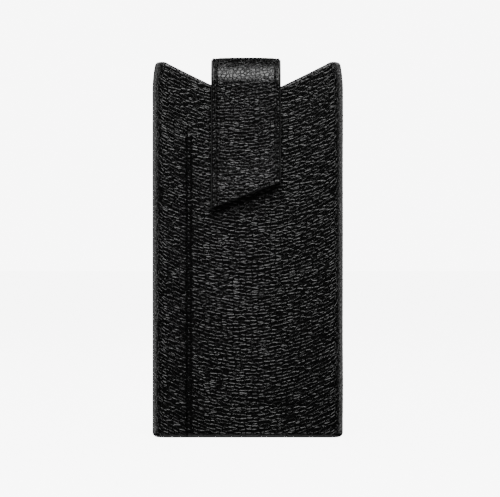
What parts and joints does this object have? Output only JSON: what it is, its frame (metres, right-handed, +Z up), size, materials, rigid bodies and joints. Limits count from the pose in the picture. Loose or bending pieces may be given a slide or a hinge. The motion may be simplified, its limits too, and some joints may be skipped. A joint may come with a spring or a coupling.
{
  "type": "leather slip case",
  "caption": "Slim upright slip case of grained leather with a V-shaped mouth, a slit pocket in the front, and a padded strap that folds over the mouth and closes by a magnet.",
  "frame": {"origin": "on the floor under the middle of the base, with the case standing upright", "axes": "+Z up along the case's height, towards the mouth; the front, with the slit and the strap's tab, faces -Y; +X runs along the width, to the right seen from the front"},
  "size_m": [0.084, 0.026, 0.167],
  "materials": {
    "grained_leather": "black pebble-grained calf, semi-matt",
    "smooth_leather": "black smooth lining leather, matt",
    "suede_lining": "black suede microfibre, brushed nap",
    "fibre_board": "brown bonded leather-fibre board, uncoated",
    "waxed_thread": "black waxed polyester thread, twisted",
    "nickel_plate": "nickel-plated steel, satin"
  },
  "bodies": {
    "pouch": {"front_panel": "grained_leather", "back_panel": "grained_leather", "base_panel": "grained_leather", "front_mouth_facing": "smooth_leather", "back_mouth_facing": "smooth_leather", "pocket_wall": "smooth_leather", "front_lining": "suede_lining", "back_lining": "suede_lining", "base_lining": "suede_lining", "front_board": "fibre_board", "back_board": "fibre_board", "base_board": "fibre_board", "left_seam_tape": "fibre_board", "right_seam_tape": "fibre_board", "keeper_plate": "nickel_plate", "root_outer": "grained_leather", "root_filler": "fibre_board", "root_lining": "smooth_leather", "root_thread": "waxed_thread"},
    "strap_back_arch": {"back_arch_outer": "grained_leather", "back_arch_filler": "fibre_board", "back_arch_lining": "smooth_leather", "back_arch_left_thread": "waxed_thread", "back_arch_right_thread": "waxed_thread"},
    "strap_front_arch": {"front_arch_outer": "grained_leather", "front_arch_filler": "fibre_board", "front_arch_lining": "smooth_leather", "front_arch_left_thread": "waxed_thread", "front_arch_right_thread": "waxed_thread"},
    "strap_tab": {"tab_outer": "grained_leather", "tab_filler": "fibre_board", "tab_lining": "smooth_leather", "tab_left_thread": "waxed_thread", "tab_right_thread": "waxed_thread", "tab_magnet": "nickel_plate"}
  },
  "joints": [
    {"name": "strap_root_hinge", "type": "hinge", "parent": "pouch", "child": "strap_back_arch", "pos_m": [0, 0.01295, 0.15435], "axis": [-1, 0, 0], "range_deg": [0, 60], "stiffness_Nm_per_rad": 0.01},
    {"name": "strap_crest_hinge", "type": "hinge", "parent": "strap_back_arch", "child": "strap_front_arch", "pos_m": [0, 0, 0.16729], "axis": [-1, 0, 0], "range_deg": [0, 60], "stiffness_Nm_per_rad": 0.01},
    {"name": "strap_tab_hinge", "type": "hinge", "parent": "strap_front_arch", "child": "strap_tab", "pos_m": [0, -0.01295, 0.15435], "axis": [-1, 0, 0], "range_deg": [0, 60], "stiffness_Nm_per_rad": 0.01}
  ]
}
